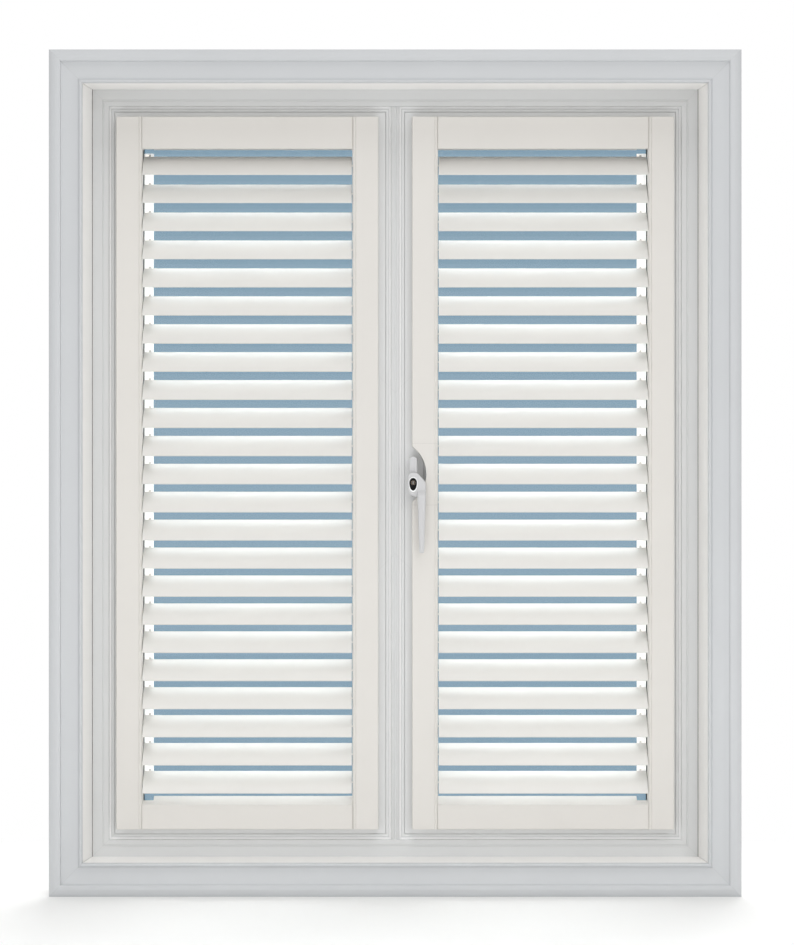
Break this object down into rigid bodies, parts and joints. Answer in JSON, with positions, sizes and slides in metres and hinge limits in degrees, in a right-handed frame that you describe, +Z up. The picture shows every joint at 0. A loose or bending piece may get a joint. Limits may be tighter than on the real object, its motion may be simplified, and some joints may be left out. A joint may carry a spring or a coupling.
{
  "type": "louvred window shutters",
  "caption": "Pair of louvred shutter panels with tilting blades on a double casement window, with its frame, glass, locking handle, reveal lining and moulded casing.",
  "frame": {"origin": "middle of the window frame's underside, on its room face", "axes": "+X to the right seen from the room, +Y from the room to the outside, +Z up"},
  "size_m": [1.336, 0.2003, 1.634],
  "materials": {
    "shutter": "off-white satin paint",
    "frame": "white plastic, low sheen",
    "casing": "cool white paint",
    "lining": "warm white paint",
    "glass": "clear sealed unit",
    "handle": "white powder coat",
    "lock": "dull metal",
    "tilt_bar": "white coated"
  },
  "bodies": {
    "window": {"casing": "casing", "reveal_lining": "lining", "window_frame": "frame", "left_sash": "frame", "left_glass": "glass", "left_panel_frame": "shutter"},
    "right_sash": {"right_sash": "frame", "right_glass": "glass", "right_panel_frame": "shutter", "handle_base": "handle"},
    "handle": {"handle_lever": "handle"},
    "lock": {"lock_plug": "lock"},
    "left_blade_01": {"left_blade_01": "shutter"},
    "left_blade_02": {"left_blade_02": "shutter"},
    "left_blade_03": {"left_blade_03": "shutter"},
    "left_blade_04": {"left_blade_04": "shutter"},
    "left_blade_05": {"left_blade_05": "shutter"},
    "left_blade_06": {"left_blade_06": "shutter"},
    "left_blade_07": {"left_blade_07": "shutter"},
    "left_blade_08": {"left_blade_08": "shutter"},
    "left_blade_09": {"left_blade_09": "shutter"},
    "left_blade_10": {"left_blade_10": "shutter"},
    "left_blade_11": {"left_blade_11": "shutter"},
    "left_blade_12": {"left_blade_12": "shutter"},
    "left_blade_13": {"left_blade_13": "shutter"},
    "left_blade_14": {"left_blade_14": "shutter"},
    "left_blade_15": {"left_blade_15": "shutter"},
    "left_blade_16": {"left_blade_16": "shutter"},
    "left_blade_17": {"left_blade_17": "shutter"},
    "left_blade_18": {"left_blade_18": "shutter"},
    "left_blade_19": {"left_blade_19": "shutter"},
    "left_blade_20": {"left_blade_20": "shutter"},
    "left_blade_21": {"left_blade_21": "shutter"},
    "left_blade_22": {"left_blade_22": "shutter"},
    "left_blade_23": {"left_blade_23": "shutter"},
    "left_tilt_bar": {"left_tilt_bar": "tilt_bar"},
    "right_blade_01": {"right_blade_01": "shutter"},
    "right_blade_02": {"right_blade_02": "shutter"},
    "right_blade_03": {"right_blade_03": "shutter"},
    "right_blade_04": {"right_blade_04": "shutter"},
    "right_blade_05": {"right_blade_05": "shutter"},
    "right_blade_06": {"right_blade_06": "shutter"},
    "right_blade_07": {"right_blade_07": "shutter"},
    "right_blade_08": {"right_blade_08": "shutter"},
    "right_blade_09": {"right_blade_09": "shutter"},
    "right_blade_10": {"right_blade_10": "shutter"},
    "right_blade_11": {"right_blade_11": "shutter"},
    "right_blade_12": {"right_blade_12": "shutter"},
    "right_blade_13": {"right_blade_13": "shutter"},
    "right_blade_14": {"right_blade_14": "shutter"},
    "right_blade_15": {"right_blade_15": "shutter"},
    "right_blade_16": {"right_blade_16": "shutter"},
    "right_blade_17": {"right_blade_17": "shutter"},
    "right_blade_18": {"right_blade_18": "shutter"},
    "right_blade_19": {"right_blade_19": "shutter"},
    "right_blade_20": {"right_blade_20": "shutter"},
    "right_blade_21": {"right_blade_21": "shutter"},
    "right_blade_22": {"right_blade_22": "shutter"},
    "right_blade_23": {"right_blade_23": "shutter"},
    "right_tilt_bar": {"right_tilt_bar": "tilt_bar"}
  },
  "joints": [
    {"name": "right_sash_swing", "type": "hinge", "parent": "window", "child": "right_sash", "pos_m": [0.5685, 0.0703, 0], "axis": [0, 0, -1], "range_deg": [0, 75]},
    {"name": "handle_turn", "type": "hinge", "parent": "right_sash", "child": "handle", "pos_m": [0.035, -0.0245, 0.763], "axis": [0, -1, 0], "range_deg": [0, 90]},
    {"name": "lock_turn", "type": "hinge", "parent": "handle", "child": "lock", "pos_m": [0.035, -0.0385, 0.746], "axis": [0, -1, 0], "range_deg": [0, 90]},
    {"name": "left_tilt_01", "type": "hinge", "parent": "window", "child": "left_blade_01", "pos_m": [0, -0.0075, 1.3675], "axis": [1, 0, 0], "range_deg": [-120, 44]},
    {"name": "left_tilt_02", "type": "hinge", "parent": "window", "child": "left_blade_02", "pos_m": [0, -0.0075, 1.31255], "axis": [1, 0, 0], "range_deg": [-120, 44]},
    {"name": "left_tilt_03", "type": "hinge", "parent": "window", "child": "left_blade_03", "pos_m": [0, -0.0075, 1.25761], "axis": [1, 0, 0], "range_deg": [-120, 44]},
    {"name": "left_tilt_04", "type": "hinge", "parent": "window", "child": "left_blade_04", "pos_m": [0, -0.0075, 1.20266], "axis": [1, 0, 0], "range_deg": [-120, 44]},
    {"name": "left_tilt_05", "type": "hinge", "parent": "window", "child": "left_blade_05", "pos_m": [0, -0.0075, 1.14772], "axis": [1, 0, 0], "range_deg": [-120, 44]},
    {"name": "left_tilt_06", "type": "hinge", "parent": "window", "child": "left_blade_06", "pos_m": [0, -0.0075, 1.09277], "axis": [1, 0, 0], "range_deg": [-120, 44]},
    {"name": "left_tilt_07", "type": "hinge", "parent": "window", "child": "left_blade_07", "pos_m": [0, -0.0075, 1.03783], "axis": [1, 0, 0], "range_deg": [-120, 44]},
    {"name": "left_tilt_08", "type": "hinge", "parent": "window", "child": "left_blade_08", "pos_m": [0, -0.0075, 0.98288], "axis": [1, 0, 0], "range_deg": [-120, 44]},
    {"name": "left_tilt_09", "type": "hinge", "parent": "window", "child": "left_blade_09", "pos_m": [0, -0.0075, 0.92794], "axis": [1, 0, 0], "range_deg": [-120, 44]},
    {"name": "left_tilt_10", "type": "hinge", "parent": "window", "child": "left_blade_10", "pos_m": [0, -0.0075, 0.87299], "axis": [1, 0, 0], "range_deg": [-120, 44]},
    {"name": "left_tilt_11", "type": "hinge", "parent": "window", "child": "left_blade_11", "pos_m": [0, -0.0075, 0.81805], "axis": [1, 0, 0], "range_deg": [-120, 44]},
    {"name": "left_tilt_12", "type": "hinge", "parent": "window", "child": "left_blade_12", "pos_m": [0, -0.0075, 0.7631], "axis": [1, 0, 0], "range_deg": [-120, 44]},
    {"name": "left_tilt_13", "type": "hinge", "parent": "window", "child": "left_blade_13", "pos_m": [0, -0.0075, 0.70815], "axis": [1, 0, 0], "range_deg": [-120, 44]},
    {"name": "left_tilt_14", "type": "hinge", "parent": "window", "child": "left_blade_14", "pos_m": [0, -0.0075, 0.65321], "axis": [1, 0, 0], "range_deg": [-120, 44]},
    {"name": "left_tilt_15", "type": "hinge", "parent": "window", "child": "left_blade_15", "pos_m": [0, -0.0075, 0.59826], "axis": [1, 0, 0], "range_deg": [-120, 44]},
    {"name": "left_tilt_16", "type": "hinge", "parent": "window", "child": "left_blade_16", "pos_m": [0, -0.0075, 0.54332], "axis": [1, 0, 0], "range_deg": [-120, 44]},
    {"name": "left_tilt_17", "type": "hinge", "parent": "window", "child": "left_blade_17", "pos_m": [0, -0.0075, 0.48837], "axis": [1, 0, 0], "range_deg": [-120, 44]},
    {"name": "left_tilt_18", "type": "hinge", "parent": "window", "child": "left_blade_18", "pos_m": [0, -0.0075, 0.43343], "axis": [1, 0, 0], "range_deg": [-120, 44]},
    {"name": "left_tilt_19", "type": "hinge", "parent": "window", "child": "left_blade_19", "pos_m": [0, -0.0075, 0.37848], "axis": [1, 0, 0], "range_deg": [-120, 44]},
    {"name": "left_tilt_20", "type": "hinge", "parent": "window", "child": "left_blade_20", "pos_m": [0, -0.0075, 0.32354], "axis": [1, 0, 0], "range_deg": [-120, 44]},
    {"name": "left_tilt_21", "type": "hinge", "parent": "window", "child": "left_blade_21", "pos_m": [0, -0.0075, 0.26859], "axis": [1, 0, 0], "range_deg": [-120, 44]},
    {"name": "left_tilt_22", "type": "hinge", "parent": "window", "child": "left_blade_22", "pos_m": [0, -0.0075, 0.21365], "axis": [1, 0, 0], "range_deg": [-120, 44]},
    {"name": "left_tilt_23", "type": "hinge", "parent": "window", "child": "left_blade_23", "pos_m": [0, -0.0075, 0.1587], "axis": [1, 0, 0], "range_deg": [-120, 44]},
    {"name": "left_bar_swing", "type": "hinge", "parent": "left_blade_12", "child": "left_tilt_bar", "pos_m": [0, 0.02126, 0.78557], "axis": [1, 0, 0], "range_deg": [-44, 120]},
    {"name": "right_tilt_01", "type": "hinge", "parent": "right_sash", "child": "right_blade_01", "pos_m": [0, -0.0075, 1.3675], "axis": [1, 0, 0], "range_deg": [-120, 44]},
    {"name": "right_tilt_02", "type": "hinge", "parent": "right_sash", "child": "right_blade_02", "pos_m": [0, -0.0075, 1.31255], "axis": [1, 0, 0], "range_deg": [-120, 44]},
    {"name": "right_tilt_03", "type": "hinge", "parent": "right_sash", "child": "right_blade_03", "pos_m": [0, -0.0075, 1.25761], "axis": [1, 0, 0], "range_deg": [-120, 44]},
    {"name": "right_tilt_04", "type": "hinge", "parent": "right_sash", "child": "right_blade_04", "pos_m": [0, -0.0075, 1.20266], "axis": [1, 0, 0], "range_deg": [-120, 44]},
    {"name": "right_tilt_05", "type": "hinge", "parent": "right_sash", "child": "right_blade_05", "pos_m": [0, -0.0075, 1.14772], "axis": [1, 0, 0], "range_deg": [-120, 44]},
    {"name": "right_tilt_06", "type": "hinge", "parent": "right_sash", "child": "right_blade_06", "pos_m": [0, -0.0075, 1.09277], "axis": [1, 0, 0], "range_deg": [-120, 44]},
    {"name": "right_tilt_07", "type": "hinge", "parent": "right_sash", "child": "right_blade_07", "pos_m": [0, -0.0075, 1.03783], "axis": [1, 0, 0], "range_deg": [-120, 44]},
    {"name": "right_tilt_08", "type": "hinge", "parent": "right_sash", "child": "right_blade_08", "pos_m": [0, -0.0075, 0.98288], "axis": [1, 0, 0], "range_deg": [-120, 44]},
    {"name": "right_tilt_09", "type": "hinge", "parent": "right_sash", "child": "right_blade_09", "pos_m": [0, -0.0075, 0.92794], "axis": [1, 0, 0], "range_deg": [-120, 44]},
    {"name": "right_tilt_10", "type": "hinge", "parent": "right_sash", "child": "right_blade_10", "pos_m": [0, -0.0075, 0.87299], "axis": [1, 0, 0], "range_deg": [-120, 44]},
    {"name": "right_tilt_11", "type": "hinge", "parent": "right_sash", "child": "right_blade_11", "pos_m": [0, -0.0075, 0.81805], "axis": [1, 0, 0], "range_deg": [-120, 44]},
    {"name": "right_tilt_12", "type": "hinge", "parent": "right_sash", "child": "right_blade_12", "pos_m": [0, -0.0075, 0.7631], "axis": [1, 0, 0], "range_deg": [-120, 44]},
    {"name": "right_tilt_13", "type": "hinge", "parent": "right_sash", "child": "right_blade_13", "pos_m": [0, -0.0075, 0.70815], "axis": [1, 0, 0], "range_deg": [-120, 44]},
    {"name": "right_tilt_14", "type": "hinge", "parent": "right_sash", "child": "right_blade_14", "pos_m": [0, -0.0075, 0.65321], "axis": [1, 0, 0], "range_deg": [-120, 44]},
    {"name": "right_tilt_15", "type": "hinge", "parent": "right_sash", "child": "right_blade_15", "pos_m": [0, -0.0075, 0.59826], "axis": [1, 0, 0], "range_deg": [-120, 44]},
    {"name": "right_tilt_16", "type": "hinge", "parent": "right_sash", "child": "right_blade_16", "pos_m": [0, -0.0075, 0.54332], "axis": [1, 0, 0], "range_deg": [-120, 44]},
    {"name": "right_tilt_17", "type": "hinge", "parent": "right_sash", "child": "right_blade_17", "pos_m": [0, -0.0075, 0.48837], "axis": [1, 0, 0], "range_deg": [-120, 44]},
    {"name": "right_tilt_18", "type": "hinge", "parent": "right_sash", "child": "right_blade_18", "pos_m": [0, -0.0075, 0.43343], "axis": [1, 0, 0], "range_deg": [-120, 44]},
    {"name": "right_tilt_19", "type": "hinge", "parent": "right_sash", "child": "right_blade_19", "pos_m": [0, -0.0075, 0.37848], "axis": [1, 0, 0], "range_deg": [-120, 44]},
    {"name": "right_tilt_20", "type": "hinge", "parent": "right_sash", "child": "right_blade_20", "pos_m": [0, -0.0075, 0.32354], "axis": [1, 0, 0], "range_deg": [-120, 44]},
    {"name": "right_tilt_21", "type": "hinge", "parent": "right_sash", "child": "right_blade_21", "pos_m": [0, -0.0075, 0.26859], "axis": [1, 0, 0], "range_deg": [-120, 44]},
    {"name": "right_tilt_22", "type": "hinge", "parent": "right_sash", "child": "right_blade_22", "pos_m": [0, -0.0075, 0.21365], "axis": [1, 0, 0], "range_deg": [-120, 44]},
    {"name": "right_tilt_23", "type": "hinge", "parent": "right_sash", "child": "right_blade_23", "pos_m": [0, -0.0075, 0.1587], "axis": [1, 0, 0], "range_deg": [-120, 44]},
    {"name": "right_bar_swing", "type": "hinge", "parent": "right_blade_12", "child": "right_tilt_bar", "pos_m": [0, 0.02126, 0.78557], "axis": [1, 0, 0], "range_deg": [-44, 120]}
  ],
  "couplings": [
    {"joint": "left_tilt_01", "follows": "left_tilt_12", "ratio": 1},
    {"joint": "left_tilt_02", "follows": "left_tilt_12", "ratio": 1},
    {"joint": "left_tilt_03", "follows": "left_tilt_12", "ratio": 1},
    {"joint": "left_tilt_04", "follows": "left_tilt_12", "ratio": 1},
    {"joint": "left_tilt_05", "follows": "left_tilt_12", "ratio": 1},
    {"joint": "left_tilt_06", "follows": "left_tilt_12", "ratio": 1},
    {"joint": "left_tilt_07", "follows": "left_tilt_12", "ratio": 1},
    {"joint": "left_tilt_08", "follows": "left_tilt_12", "ratio": 1},
    {"joint": "left_tilt_09", "follows": "left_tilt_12", "ratio": 1},
    {"joint": "left_tilt_10", "follows": "left_tilt_12", "ratio": 1},
    {"joint": "left_tilt_11", "follows": "left_tilt_12", "ratio": 1},
    {"joint": "left_tilt_13", "follows": "left_tilt_12", "ratio": 1},
    {"joint": "left_tilt_14", "follows": "left_tilt_12", "ratio": 1},
    {"joint": "left_tilt_15", "follows": "left_tilt_12", "ratio": 1},
    {"joint": "left_tilt_16", "follows": "left_tilt_12", "ratio": 1},
    {"joint": "left_tilt_17", "follows": "left_tilt_12", "ratio": 1},
    {"joint": "left_tilt_18", "follows": "left_tilt_12", "ratio": 1},
    {"joint": "left_tilt_19", "follows": "left_tilt_12", "ratio": 1},
    {"joint": "left_tilt_20", "follows": "left_tilt_12", "ratio": 1},
    {"joint": "left_tilt_21", "follows": "left_tilt_12", "ratio": 1},
    {"joint": "left_tilt_22", "follows": "left_tilt_12", "ratio": 1},
    {"joint": "left_tilt_23", "follows": "left_tilt_12", "ratio": 1},
    {"joint": "left_bar_swing", "follows": "left_tilt_12", "ratio": -1},
    {"joint": "right_tilt_01", "follows": "right_tilt_12", "ratio": 1},
    {"joint": "right_tilt_02", "follows": "right_tilt_12", "ratio": 1},
    {"joint": "right_tilt_03", "follows": "right_tilt_12", "ratio": 1},
    {"joint": "right_tilt_04", "follows": "right_tilt_12", "ratio": 1},
    {"joint": "right_tilt_05", "follows": "right_tilt_12", "ratio": 1},
    {"joint": "right_tilt_06", "follows": "right_tilt_12", "ratio": 1},
    {"joint": "right_tilt_07", "follows": "right_tilt_12", "ratio": 1},
    {"joint": "right_tilt_08", "follows": "right_tilt_12", "ratio": 1},
    {"joint": "right_tilt_09", "follows": "right_tilt_12", "ratio": 1},
    {"joint": "right_tilt_10", "follows": "right_tilt_12", "ratio": 1},
    {"joint": "right_tilt_11", "follows": "right_tilt_12", "ratio": 1},
    {"joint": "right_tilt_13", "follows": "right_tilt_12", "ratio": 1},
    {"joint": "right_tilt_14", "follows": "right_tilt_12", "ratio": 1},
    {"joint": "right_tilt_15", "follows": "right_tilt_12", "ratio": 1},
    {"joint": "right_tilt_16", "follows": "right_tilt_12", "ratio": 1},
    {"joint": "right_tilt_17", "follows": "right_tilt_12", "ratio": 1},
    {"joint": "right_tilt_18", "follows": "right_tilt_12", "ratio": 1},
    {"joint": "right_tilt_19", "follows": "right_tilt_12", "ratio": 1},
    {"joint": "right_tilt_20", "follows": "right_tilt_12", "ratio": 1},
    {"joint": "right_tilt_21", "follows": "right_tilt_12", "ratio": 1},
    {"joint": "right_tilt_22", "follows": "right_tilt_12", "ratio": 1},
    {"joint": "right_tilt_23", "follows": "right_tilt_12", "ratio": 1},
    {"joint": "right_bar_swing", "follows": "right_tilt_12", "ratio": -1}
  ]
}
